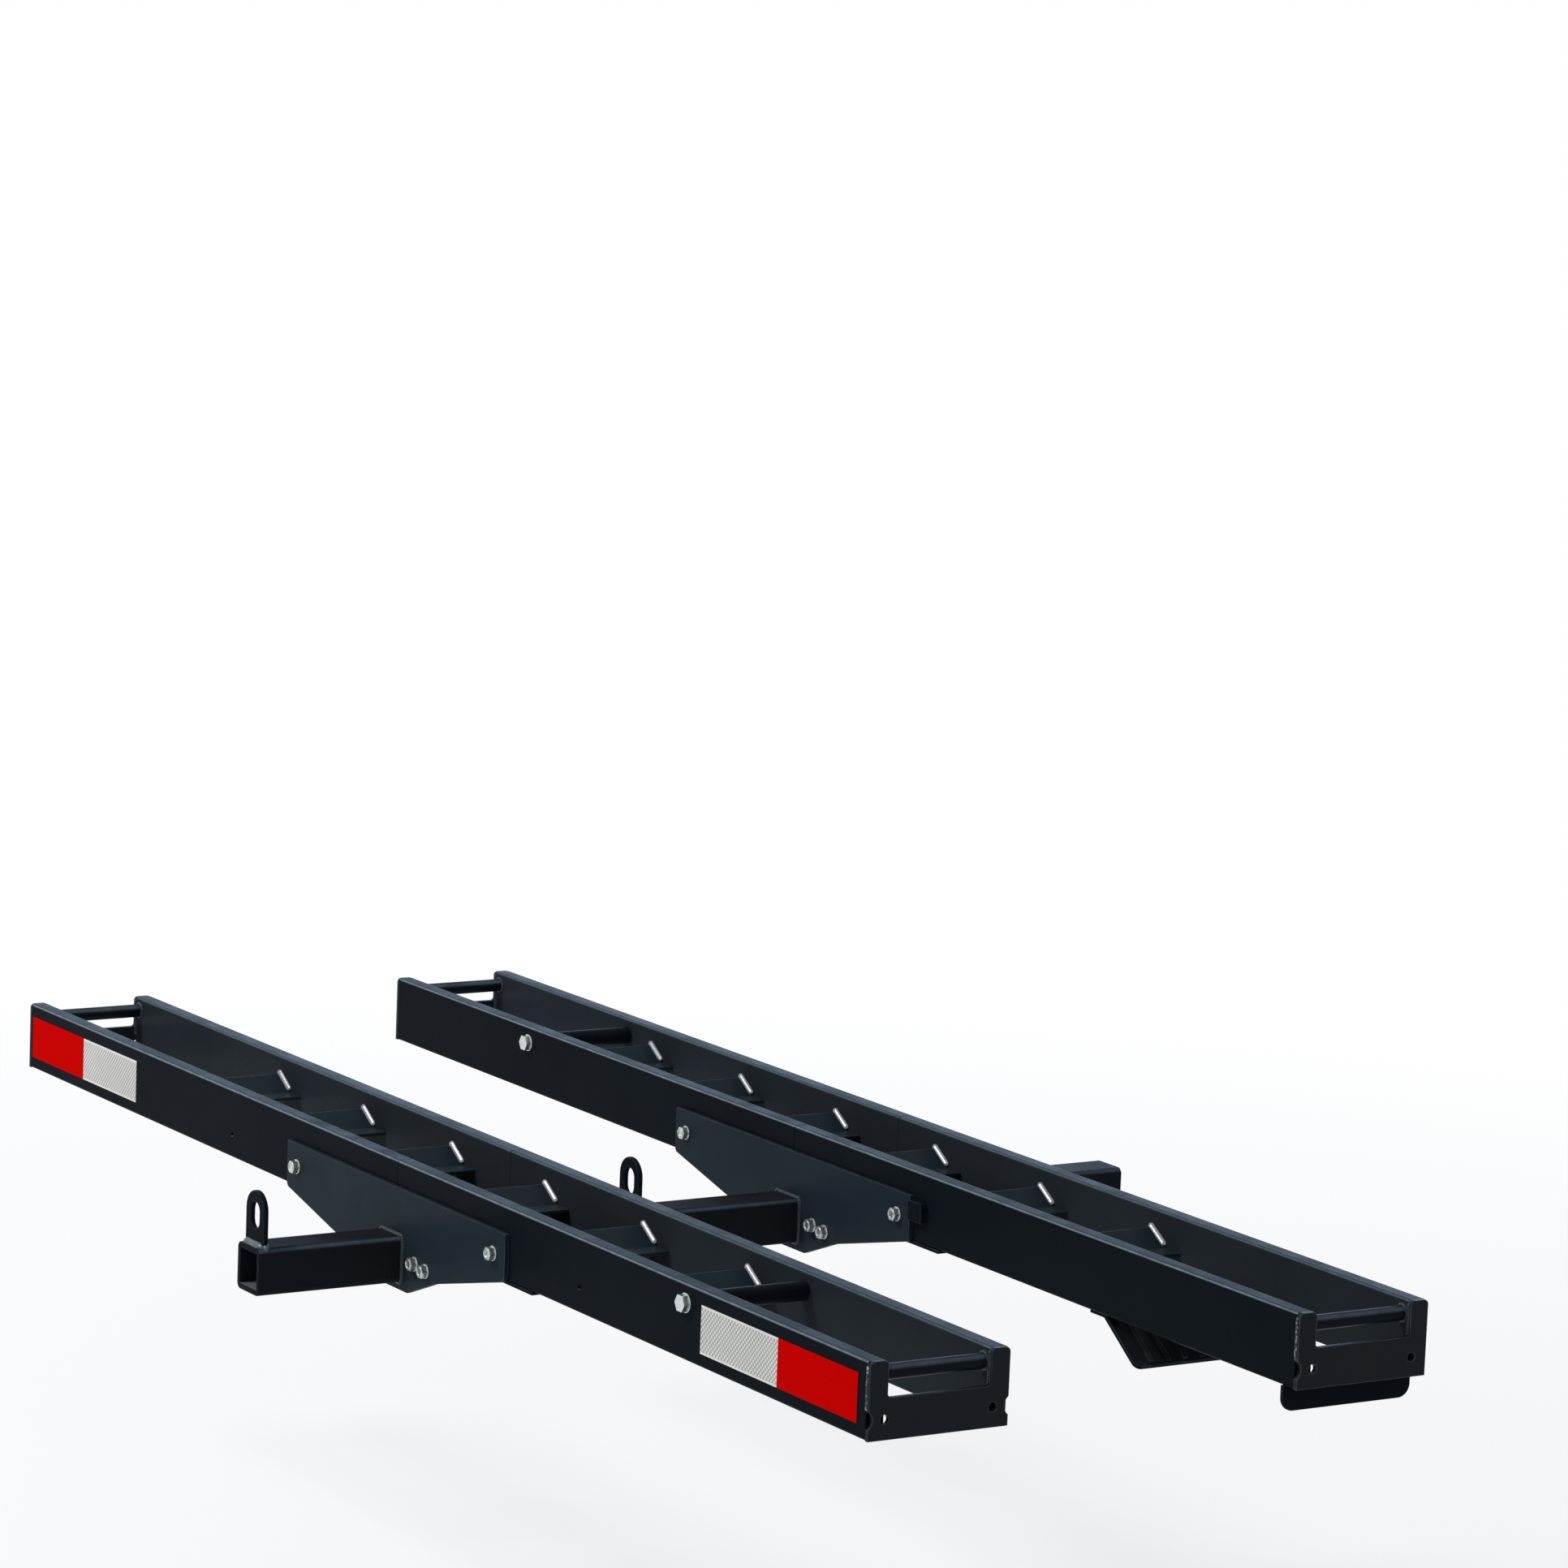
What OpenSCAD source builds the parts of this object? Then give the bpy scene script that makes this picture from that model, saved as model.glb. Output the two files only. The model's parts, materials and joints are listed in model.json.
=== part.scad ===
// Two-track carrier for a square hitch receiver.
// X runs along the tracks, Y points along the tube to its receiver end, Z is up.
// The origin is the middle of the hitch pin hole, on the centre line of the hitch tube.

/* [Hitch tube] */
// Outside of the square hitch tube
tube_side = 50.8; // [40:0.1:65]
// Wall of the hitch tube
tube_wall = 6.35; // [4:0.05:8]
// Outside corner radius of the hitch tube
tube_r = 7; // [2:0.5:10]
// Diameter of the hitch pin hole
pin_d = 16.3; // [12:0.1:20]
// From the pin hole to the receiver end of the tube
pin_to_tip = 70; // [45:1:120]
// From the pin hole to the front wall of the front track
pin_to_track = 200; // [140:1:320]
// Length of tube left standing behind the rear track
stub_l = 174; // [80:1:300]

/* [Tracks] */
// Length of each wheel track over its end plates
track_l = 1880; // [1700:10:2200]
// Outside width of each wheel track
track_w = 157; // [140:1:220]
// From the rear wall of one track to the rear wall of the other
track_pitch = 495; // [420:5:700]
// Height of the rails
rail_h = 77; // [72:1:110]
// Width of the box-section rails
rail_w = 20; // [16:1:28]
// Wall of the rails
rail_t = 2.5; // [2:0.5:4]
// Outside corner radius of the rails
rail_r = 3.5; // [2.5:0.5:6]
// Gap between the two halves of a track
seam_gap = 1; // [0.5:0.5:6]

/* [Rungs] */
// Rungs in each half of a track
rungs_per_half = 3; // [1:1:3]
// Distance from one rung to the next
rung_pitch = 208.5; // [150:0.5:215]
// Height of the ridge over the underside of the rails
rung_ridge_z = 57; // [50:1:60]
// Height of the ledge over the underside of the rails
rung_ledge_z = 40; // [30:1:46]
// Length of the sloping face, measured along the track
rung_run = 28; // [15:1:40]
// Length of the ledge
rung_ledge = 24; // [15:1:50]
// Plate thickness of the rungs
rung_t = 4; // [3:0.5:6]

/* [End plates] */
// Thickness of the end plates
end_t = 5; // [3:0.5:8]
// Width of the two ears beside the notch
ear_w = 21; // [20:1:34]
// Radius of the ears' upper corners
ear_r = 5; // [1:0.5:8]
// Height of the bottom of the notch over the underside of the rails
notch_z = 41; // [34:1:48]
// Radius of the inside corners of the notch
notch_r = 4; // [2:0.5:10]
// Radius of the weld relief cut into some of the upright edges
relief_r = 11; // [6:0.5:14]
// Depth of that relief
relief_depth = 4.5; // [1:0.5:5]
// Height of the relief and of the accessory holes
relief_z = 20; // [14:0.5:24]
// Diameter of the accessory holes
end_hole_d = 9; // [4:0.5:10]
// From the side of the track to an accessory hole
end_hole_in = 18; // [15:0.5:24]
// Diameter of the round wheel bar behind each end plate
bar_d = 15.5; // [8:0.5:18]
// Clear space between the end plate and the wheel bar
bar_gap = 2; // [1:0.5:20]
// Height of the wheel bar over the underside of the rails
bar_z = 62; // [54:0.5:66]

/* [Gussets] */
// Thickness of the gusset plates
gusset_t = 5; // [3:0.5:8]
// Half length of a gusset along the track
gusset_half = 247; // [200:1:280]
// Height of the gusset's upper edge over the underside of the rails
gusset_top = 50; // [42:1:60]
// Drop of the gusset's short end below the underside of the rails
gusset_end_drop = 2; // [0:0.5:8]
// From the middle to the knee in the gusset's lower edge
knee_x = 101; // [85:1:130]
// Drop of the knee below the underside of the rails
knee_drop = 35; // [25:1:45]
// Half width of the gusset's foot under the tube
foot_half = 38; // [34:1:60]
// Strip of gusset left under the tube
foot_strip = 8; // [4:0.5:16]
// Corner radius of the gusset's short ends
gusset_r = 6; // [2:0.5:10]
// From the middle of a track to the end of its left floor plate
floor_left = 240; // [150:1:250]
// From the middle of a track to the end of its right floor plate
floor_right = 297; // [150:1:330]
// Thickness of the floor plates
floor_t = 4; // [3:0.5:6]

/* [Fasteners] */
// Diameter of the gusset bolts and tie bolts
bolt_d = 8; // [6:1:10]
// From the end of a gusset to its bolt
gusset_bolt_in = 24; // [16:1:40]
// Height of the gusset bolts over the underside of the rails
gusset_bolt_z = 25; // [18:1:32]
// From the side of the tube to the first tie bolt
tie_bolt_in = 28; // [14:0.5:32]
// Drop of the first tie bolt below the underside of the rails
tie_bolt_drop = 23.5; // [18:0.5:28]
// Sideways step from the first tie bolt to the second
tie_step_x = 25; // [18:0.5:28]
// Downward step from the first tie bolt to the second
tie_step_z = 2.5; // [0:0.5:6]
// Thickness of the washers
washer_t = 1.6; // [1:0.1:3]

/* [Wheel stops] */
// Diameter of the wheel stop bolts
stop_bolt_d = 10; // [8:1:14]
// From the right-hand reflectors to the wheel stop bolt
stop_gap = 30; // [20:1:60]
// Height of a wheel stop over the underside of the rails
stop_z = 58; // [52:0.5:60]
// Outside diameter of the turning sleeve on the bolt
sleeve_d = 20; // [17:0.5:22]

/* [Tie-down plates] */
// Width of a tie-down plate
hook_w = 42; // [34:1:48]
// Height of a tie-down plate over the tube
hook_h = 58; // [50:1:70]
// Thickness of a tie-down plate
hook_t = 6; // [4:0.5:10]
// Width of the slot in a tie-down plate
hook_slot_w = 20; // [14:0.5:24]
// Height of the slot in a tie-down plate
hook_slot_h = 29; // [24:0.5:31]
// From the tube up to the slot in a tie-down plate
hook_slot_z = 17; // [10:0.5:19]
// From the rear end of the tube to the first tie-down plate
hook_in = 6; // [4:1:40]
// From the rear track's front wall to the middle tie-down plate
hook_mid_gap = 128; // [60:1:180]
// From the front track's front wall to the foremost tie-down plate
hook_front_gap = 40; // [20:1:60]

/* [Reflectors and wall holes] */
// Length of each reflector
tape_l = 143; // [80:1:150]
// Height of each reflector
tape_h = 48.5; // [30:0.5:52]
// Height of the reflectors' lower edge over the underside of the rails
tape_z = 14; // [5:0.5:18]
// Thickness of the reflectors
tape_t = 0.5; // [0.3:0.1:1.5]
// From the left end of the track to the first reflector
tape_left_in = 10; // [6:1:40]
// From the right end of the track to the last reflector
tape_right_in = 20; // [6:1:24]
// Diameter of the small accessory holes in the rearmost wall
wall_hole_d = 6; // [4:0.5:10]
// From the middle of the track to an accessory hole
wall_hole_x = 394; // [350:1:430]
// Height of the accessory holes over the underside of the rails
wall_hole_z = 26; // [16:0.5:50]

/* [Side lug] */
// Length of the small lug beside the front track's back gusset
lug_l = 26; // [10:1:40]
// Height of the lug
lug_h = 22; // [10:1:30]
// Thickness of the lug
lug_t = 8; // [3:0.5:12]
// Height of the lug's upper edge over the underside of the rails
lug_top = 46; // [36:1:60]

/* [Hanging plates] */
// Plate thickness of the two hanging plates
hang_t = 4; // [3:0.5:6]
// From the middle of the track to the top of the sloping plate
ramp_x = 604; // [560:1:640]
// Length of the slope, measured along the track
ramp_run = 60; // [40:1:90]
// Drop of the slope below the rails
ramp_drop = 42; // [30:1:60]
// Length of its flange under the rails
ramp_flange = 26; // [15:1:40]
// Radius of the sloping plate's lower corners
ramp_corner_r = 8; // [2:0.5:12]
// From each side of the track to the sloping plate
ramp_in = 5; // [1:0.5:10]
// Number of ribs on the sloping plate
rib_count = 6; // [3:1:8]
// Width of a rib
rib_w = 5; // [3:0.5:8]
// Height of a rib
rib_h = 2; // [1:0.5:4]
// From the end of the track to the upright plate
skirt_in = 22; // [12:1:80]
// Drop of the upright plate below the rails
skirt_drop = 27; // [14:1:40]
// Radius of the upright plate's lower corners
skirt_r = 14; // [4:0.5:14]

/* [Hidden] */
$fn = 48;

// Sides of a track along X and walls of a track along Y
left = -1;
right = 1;
back = 0;
front = 1;

// Places of the tracks in the shared frame
front_track_y = -pin_to_track - track_w;
rear_track_y = front_track_y - track_pitch;
tube_rear_y = rear_track_y - stub_l;
deck_z = tube_side / 2;

// Running and assembly clearances
hole_clear = 0.5;
nut_clear = 0.2;
window_clear = 0.2;
sleeve_fit = 0.1;
sleeve_end_gap = 0.5;
cut_over = 1;
least_r = 0.25;

// Standard proportions of hexagon bolts, nuts and washers, as shares of the thread
hex_share = 1.625;
head_share = 0.65;
nut_share = 0.8;
collar_share = 0.12;
collar_d_share = 1.35;
washer_share = 2;

// Outlines shared by several pieces
track_end = track_l / 2;
rail_end = track_end - end_t;
rung_rise = rung_ridge_z - rung_ledge_z;
rung_drop = rung_t * sqrt(rung_run * rung_run + rung_rise * rung_rise) / rung_run;
ramp_len = sqrt(ramp_run * ramp_run + ramp_drop * ramp_drop);
ramp_angle = atan2(ramp_drop, ramp_run);
bar_x = rail_end - bar_gap - bar_d / 2;
stop_x = track_end - tape_right_in - 2 * tape_l - stop_gap;
gusset_bolt_x = gusset_half - gusset_bolt_in;
tie_bolt_x = tube_side / 2 + tie_bolt_in;
tie_points = [for (side = [left, right], i = [0, 1])
  [side * (tie_bolt_x + i * tie_step_x), -tie_bolt_drop - i * tie_step_z]];
gusset_points = [for (side = [left, right]) [side * gusset_bolt_x, gusset_bolt_z]];

// Finish colours
powder_black = [0.09, 0.11, 0.13];
gusset_black = [0.16, 0.2, 0.22];
zinc = [0.72, 0.75, 0.76];
signal_red = [0.75, 0.03, 0.02];
signal_white = [0.85, 0.85, 0.82];

// Puts a piece drawn in a track's own frame into place
module at_track(y) {
  translate([0, y, deck_z]) children();
}

// Turns a right-hand piece into a left-hand one
module on_side(side) {
  mirror([side == left ? 1 : 0, 0, 0]) children();
}

// Turns a piece of the back wall into one of the front wall
module on_wall(wall) {
  translate([0, wall == front ? track_w : 0, 0]) mirror([0, wall == front ? 1 : 0, 0]) children();
}

// Extrudes an X-Z outline along Y
module along_y(y0, y1) {
  translate([0, y1, 0]) rotate([90, 0, 0]) linear_extrude(y1 - y0) children();
}

// Extrudes a Y-Z outline along X
module along_x(x0, x1) {
  translate([x0, 0, 0]) rotate([90, 0, 90]) linear_extrude(x1 - x0) children();
}

// Round rod along Y
module rod_y(d, y0, y1) {
  translate([0, y0, 0]) rotate([-90, 0, 0]) cylinder(d = d, h = y1 - y0);
}

// Hexagon prism along Y
module hex_y(d, y0, y1) {
  translate([0, y0, 0]) rotate([-90, 0, 0]) cylinder(d = d * hex_share / cos(30), h = y1 - y0, $fn = 6);
}

// Rectangular outline with round corners, centred
module round_rect(w, h, r) {
  square([w - 2 * r, h], center = true);
  square([w, h - 2 * r], center = true);
  for (x = [r - w / 2, w / 2 - r], y = [r - h / 2, h / 2 - r]) translate([x, y]) circle(r);
}

// Outline of a box-section tube with round corners
module tube_outline(w, h, wall, r) {
  inner_r = max(r - wall, least_r);
  difference() {
    round_rect(w, h, r);
    round_rect(w - 2 * wall, h - 2 * wall, inner_r);
  }
}

// Bolt with its head towards +Y, which runs through the nut and ends inside the nut's collar
module bolt(d, y_nut, y_head) {
  rod_y(d, y_nut - d * nut_share, y_head + d * head_share / 2);
  hex_y(d, y_head, y_head + d * head_share);
}

// Lock nut with a round collar, seated against y and reaching towards -Y
module lock_nut(d, y) {
  difference() {
    union() {
      hex_y(d, y - d * nut_share, y);
      rod_y(d * collar_d_share, y - d * (nut_share + collar_share), y);
    }
    rod_y(d + 2 * nut_clear, y - d * (nut_share + collar_share) - cut_over, y + cut_over);
  }
}

// Flat washer between two Y planes
module washer(d, y0, y1) {
  difference() {
    rod_y(d * washer_share, y0, y1);
    rod_y(d + hole_clear, y0 - cut_over, y1 + cut_over);
  }
}

// Square tube with its pin hole and open ends
module hitch_tube() {
  color(powder_black) difference() {
    along_y(tube_rear_y, pin_to_tip) tube_outline(tube_side, tube_side, tube_wall, tube_r);
    translate([-tube_side / 2 - cut_over, 0, 0]) rotate([0, 90, 0])
      cylinder(d = pin_d, h = tube_side + 2 * cut_over);
  }
}

// Hole drilled into a rail from its outer wall to a depth
module rail_hole(x, z, d, depth) {
  translate([x, 0, z]) rod_y(d, -cut_over, depth);
}

// Box-section rail of one half track, with its bolt holes
module rail(track_y, side, wall, has_stop, has_accessory_hole) {
  color(powder_black) at_track(track_y) on_wall(wall) on_side(side) difference() {
    along_x(seam_gap / 2, rail_end)
      translate([rail_w, rail_h] / 2) tube_outline(rail_w, rail_h, rail_t, rail_r);
    rail_hole(gusset_bolt_x, gusset_bolt_z, bolt_d + hole_clear, rail_w + cut_over);
    if (has_stop) rail_hole(stop_x, stop_z, stop_bolt_d + hole_clear, rail_w + cut_over);
    if (has_accessory_hole) rail_hole(wall_hole_x, wall_hole_z, wall_hole_d, rail_w / 2);
  }
}

// Bent outline of a rung: a sloping face that runs out into a ledge
module rung_outline() {
  polygon([
    [0, rung_ridge_z],
    [rung_run, rung_ledge_z],
    [rung_run + rung_ledge, rung_ledge_z],
    [rung_run + rung_ledge, rung_ledge_z - rung_t],
    [rung_run * (rung_rise - rung_drop + rung_t) / rung_rise, rung_ledge_z - rung_t],
    [0, rung_ridge_z - rung_drop]
  ]);
}

// Rungs of one half track; all rungs of a track slope the same way
module rungs(track_y, side) {
  color(powder_black) at_track(track_y)
    for (i = [0 : rungs_per_half - 1])
      translate([side * (i + 1 / 2) * rung_pitch - (rung_run + rung_ledge) / 2, 0, 0])
        along_y(rail_w, track_w - rail_w) rung_outline();
}

// Notched outline of an end plate, with round upper corners and a weld relief at each named wall
module end_outline(relief_walls) {
  notch_w = track_w - 2 * ear_w;
  difference() {
    union() {
      square([track_w, rail_h - ear_r]);
      for (y = [0, track_w - ear_w]) translate([y + ear_w / 2, rail_h / 2]) round_rect(ear_w, rail_h, ear_r);
    }
    translate([ear_w, notch_z + notch_r]) square([notch_w, rail_h]);
    translate([ear_w + notch_r, notch_z]) square([notch_w - 2 * notch_r, rail_h]);
    for (y = [ear_w + notch_r, track_w - ear_w - notch_r]) translate([y, notch_z + notch_r]) circle(notch_r);
    for (wall = relief_walls)
      translate([wall == front ? track_w - relief_depth + relief_r : relief_depth - relief_r, relief_z])
        circle(relief_r);
    for (y = [end_hole_in, track_w - end_hole_in]) translate([y, relief_z]) circle(d = end_hole_d);
  }
}

// End plate welded across the ends of two rails
module end_plate(track_y, side, relief_walls) {
  color(powder_black) at_track(track_y) on_side(side)
    along_x(rail_end, track_end) end_outline(relief_walls);
}

// Round bar across the track behind an end plate
module wheel_bar(track_y, side) {
  color(powder_black) at_track(track_y) on_side(side)
    translate([bar_x, 0, bar_z]) rod_y(bar_d, rail_w, track_w - rail_w);
}

// Half of the gusset outline, right of the middle
module gusset_half_outline() {
  polygon([
    [0, gusset_top],
    [gusset_half, gusset_top],
    [gusset_half, gusset_r - gusset_end_drop],
    [gusset_half - gusset_r, -gusset_end_drop],
    [knee_x, -knee_drop],
    [foot_half, -tube_side - foot_strip],
    [0, -tube_side - foot_strip]
  ]);
  translate([gusset_half - gusset_r, gusset_r - gusset_end_drop]) circle(gusset_r);
}

// Gusset plate outside one wall of a track, welded round the tube
module gusset(track_y, wall) {
  window = tube_side + 2 * window_clear;
  color(gusset_black) at_track(track_y) on_wall(wall) difference() {
    along_y(-gusset_t, 0) {
      gusset_half_outline();
      mirror([1, 0]) gusset_half_outline();
    }
    along_y(-gusset_t - cut_over, cut_over)
      translate([0, -tube_side / 2]) round_rect(window, window, tube_r + window_clear);
    for (p = concat(gusset_points, tie_points)) translate([p[0], 0, p[1]])
      rod_y(bolt_d + hole_clear, -gusset_t - cut_over, cut_over);
  }
}

// Two floor plates under a track, one on each side of the tube
module floor_plates(track_y) {
  color(powder_black) at_track(track_y) for (plate = [[left, floor_left], [right, floor_right]])
    on_side(plate[0]) translate([tube_side / 2, 0, -floor_t])
      cube([plate[1] - tube_side / 2, track_w, floor_t]);
}

// Repeats a fastener at the four gusset bolt places of a track
module at_gusset_bolts(track_y) {
  color(zinc) at_track(track_y) for (wall = [back, front], p = gusset_points)
    on_wall(wall) translate([p[0], 0, p[1]]) children();
}

// Repeats a fastener at the four tie bolt places of a track
module at_tie_bolts(track_y) {
  color(zinc) at_track(track_y) for (p = tie_points) translate([p[0], 0, p[1]]) children();
}

// Bolts that hold the gussets to the rails, heads inside the track
module gusset_bolts(track_y) {
  at_gusset_bolts(track_y) bolt(bolt_d, -gusset_t - washer_t, rail_w);
}

// Washers under the gusset nuts
module gusset_washers(track_y) {
  at_gusset_bolts(track_y) washer(bolt_d, -gusset_t - washer_t, -gusset_t);
}

// Lock nuts of the gusset bolts
module gusset_nuts(track_y) {
  at_gusset_bolts(track_y) lock_nut(bolt_d, -gusset_t - washer_t);
}

// Long bolts that tie the two gussets of a track together beside the tube
module tie_bolts(track_y) {
  at_tie_bolts(track_y) bolt(bolt_d, -gusset_t - washer_t, track_w + gusset_t + washer_t);
}

// Washers at both ends of the tie bolts
module tie_washers(track_y) {
  at_tie_bolts(track_y) {
    washer(bolt_d, -gusset_t - washer_t, -gusset_t);
    washer(bolt_d, track_w + gusset_t, track_w + gusset_t + washer_t);
  }
}

// Lock nuts of the tie bolts
module tie_nuts(track_y) {
  at_tie_bolts(track_y) lock_nut(bolt_d, -gusset_t - washer_t);
}

// Place of a wheel stop, on the side where the front wheel stands
module at_stop(track_y, side) {
  color(zinc) at_track(track_y) translate([side * stop_x, 0, stop_z]) children();
}

// Cross bolt of a wheel stop, with its head on the back wall
module stop_bolt(track_y, side) {
  at_stop(track_y, side) on_wall(front) bolt(stop_bolt_d, -washer_t, track_w + washer_t);
}

// Sleeve that turns on the cross bolt
module stop_sleeve(track_y, side) {
  color(powder_black) at_track(track_y) translate([side * stop_x, 0, stop_z]) difference() {
    rod_y(sleeve_d, rail_w + sleeve_end_gap, track_w - rail_w - sleeve_end_gap);
    rod_y(stop_bolt_d + sleeve_fit, 0, track_w);
  }
}

// Washers at both ends of the cross bolt
module stop_washers(track_y, side) {
  at_stop(track_y, side) {
    washer(stop_bolt_d, -washer_t, 0);
    washer(stop_bolt_d, track_w, track_w + washer_t);
  }
}

// Lock nut of the cross bolt, on the front wall
module stop_nut(track_y, side) {
  at_stop(track_y, side) on_wall(front) lock_nut(stop_bolt_d, -washer_t);
}

// Upright plate with a long slot, welded across the top of the tube
module tie_down_plate(y) {
  slot_r = hook_slot_w / 2;
  color(powder_black) translate([0, 0, deck_z]) along_y(y, y + hook_t) difference() {
    union() {
      translate([-hook_w / 2, 0]) square([hook_w, hook_h - hook_w / 2]);
      translate([0, hook_h - hook_w / 2]) circle(hook_w / 2);
    }
    translate([-slot_r, hook_slot_z + slot_r]) square([hook_slot_w, hook_slot_h - hook_slot_w]);
    for (z = [slot_r, hook_slot_h - slot_r]) translate([0, hook_slot_z + z]) circle(slot_r);
  }
}

// Flat reflector on the rearmost wall, starting at x
module reflector(x) {
  at_track(rear_track_y) translate([x, -tape_t, tape_z]) cube([tape_l, tape_t, tape_h]);
}

// Red reflectors at the two ends of the rear track
module red_reflectors() {
  color(signal_red) {
    reflector(tape_left_in - track_end);
    reflector(track_end - tape_right_in - tape_l);
  }
}

// White reflectors beside the red ones
module white_reflectors() {
  color(signal_white) {
    reflector(tape_left_in - track_end + tape_l);
    reflector(track_end - tape_right_in - 2 * tape_l);
  }
}

// Outline of the slope, with round lower corners
module ramp_face_outline(w) {
  square([ramp_len - ramp_corner_r, w]);
  translate([0, ramp_corner_r]) square([ramp_len, w - 2 * ramp_corner_r]);
  for (y = [ramp_corner_r, w - ramp_corner_r])
    translate([ramp_len - ramp_corner_r, y]) circle(ramp_corner_r);
}

// Ribbed plate that slopes down under the right half of the front track
module sloping_hanging_plate() {
  ramp_w = track_w - 2 * ramp_in;
  rib_step = ramp_w / (rib_count + 1);
  color(powder_black) at_track(front_track_y) translate([ramp_x, ramp_in, 0]) {
    translate([-ramp_flange, 0, -hang_t]) cube([ramp_flange, ramp_w, hang_t]);
    rotate([0, ramp_angle, 0]) translate([0, 0, -hang_t]) {
      linear_extrude(hang_t) ramp_face_outline(ramp_w);
      for (i = [1 : rib_count]) translate([hang_t, i * rib_step - rib_w / 2, 0])
        cube([ramp_len - 2 * hang_t, rib_w, hang_t + rib_h]);
    }
  }
}

// Outline of the upright plate with its round lower corners
module skirt_outline() {
  translate([0, -skirt_drop]) intersection() {
    square([track_w, skirt_drop]);
    union() {
      translate([skirt_r, 0]) square([track_w - 2 * skirt_r, skirt_drop]);
      translate([0, skirt_r]) square([track_w, skirt_drop]);
      for (y = [skirt_r, track_w - skirt_r]) translate([y, skirt_r]) circle(skirt_r);
    }
  }
}

// Upright plate under the right end of the front track
module upright_hanging_plate() {
  skirt_x = track_end - skirt_in;
  color(powder_black) at_track(front_track_y) along_x(skirt_x - hang_t, skirt_x) skirt_outline();
}

// Small lug on the front track's back wall, at the right end of its gusset
module side_lug() {
  color(powder_black) at_track(front_track_y)
    translate([gusset_half, -lug_t, lug_top - lug_h]) cube([lug_l, lug_t, lug_h]);
}

hitch_tube();
rail(rear_track_y, left, back, false, true);  // rear_track_left_back_rail
rail(rear_track_y, left, front, false, false);  // rear_track_left_front_rail
rail(rear_track_y, right, back, true, true);  // rear_track_right_back_rail
rail(rear_track_y, right, front, true, false);  // rear_track_right_front_rail
rail(front_track_y, left, back, true, false);  // front_track_left_back_rail
rail(front_track_y, left, front, true, false);  // front_track_left_front_rail
rail(front_track_y, right, back, false, false);  // front_track_right_back_rail
rail(front_track_y, right, front, false, false);  // front_track_right_front_rail
rungs(rear_track_y, left);  // rear_track_left_rungs
rungs(rear_track_y, right);  // rear_track_right_rungs
rungs(front_track_y, left);  // front_track_left_rungs
rungs(front_track_y, right);  // front_track_right_rungs
end_plate(rear_track_y, left, []);  // rear_track_left_end_plate
end_plate(rear_track_y, right, [back, front]);  // rear_track_right_end_plate
end_plate(front_track_y, left, []);  // front_track_left_end_plate
end_plate(front_track_y, right, [back]);  // front_track_right_end_plate
wheel_bar(rear_track_y, left);  // rear_track_left_wheel_bar
wheel_bar(rear_track_y, right);  // rear_track_right_wheel_bar
wheel_bar(front_track_y, left);  // front_track_left_wheel_bar
wheel_bar(front_track_y, right);  // front_track_right_wheel_bar
gusset(rear_track_y, back);  // rear_track_back_gusset
gusset(rear_track_y, front);  // rear_track_front_gusset
gusset(front_track_y, back);  // front_track_back_gusset
gusset(front_track_y, front);  // front_track_front_gusset
floor_plates(rear_track_y);  // rear_track_floor_plates
floor_plates(front_track_y);  // front_track_floor_plates
gusset_bolts(rear_track_y);  // rear_gusset_bolts
gusset_washers(rear_track_y);  // rear_gusset_washers
gusset_nuts(rear_track_y);  // rear_gusset_nuts
gusset_bolts(front_track_y);  // front_gusset_bolts
gusset_washers(front_track_y);  // front_gusset_washers
gusset_nuts(front_track_y);  // front_gusset_nuts
tie_bolts(rear_track_y);  // rear_tie_bolts
tie_washers(rear_track_y);  // rear_tie_washers
tie_nuts(rear_track_y);  // rear_tie_nuts
tie_bolts(front_track_y);  // front_tie_bolts
tie_washers(front_track_y);  // front_tie_washers
tie_nuts(front_track_y);  // front_tie_nuts
stop_bolt(rear_track_y, right);  // rear_wheel_stop_bolt
stop_sleeve(rear_track_y, right);  // rear_wheel_stop_sleeve
stop_washers(rear_track_y, right);  // rear_wheel_stop_washers
stop_nut(rear_track_y, right);  // rear_wheel_stop_nut
stop_bolt(front_track_y, left);  // front_wheel_stop_bolt
stop_sleeve(front_track_y, left);  // front_wheel_stop_sleeve
stop_washers(front_track_y, left);  // front_wheel_stop_washers
stop_nut(front_track_y, left);  // front_wheel_stop_nut
tie_down_plate(tube_rear_y + hook_in);  // rear_tie_down_plate
tie_down_plate(rear_track_y + track_w + hook_mid_gap);  // middle_tie_down_plate
tie_down_plate(-pin_to_track + hook_front_gap);  // front_tie_down_plate
red_reflectors();
white_reflectors();
sloping_hanging_plate();
upright_hanging_plate();
side_lug();  // front_track_side_lug
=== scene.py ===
"""Looks for the two-track hitch carrier: finishes, weld beads, light and camera."""
import json
import math

import bmesh
import bpy
from mathutils import Matrix, Vector

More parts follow.
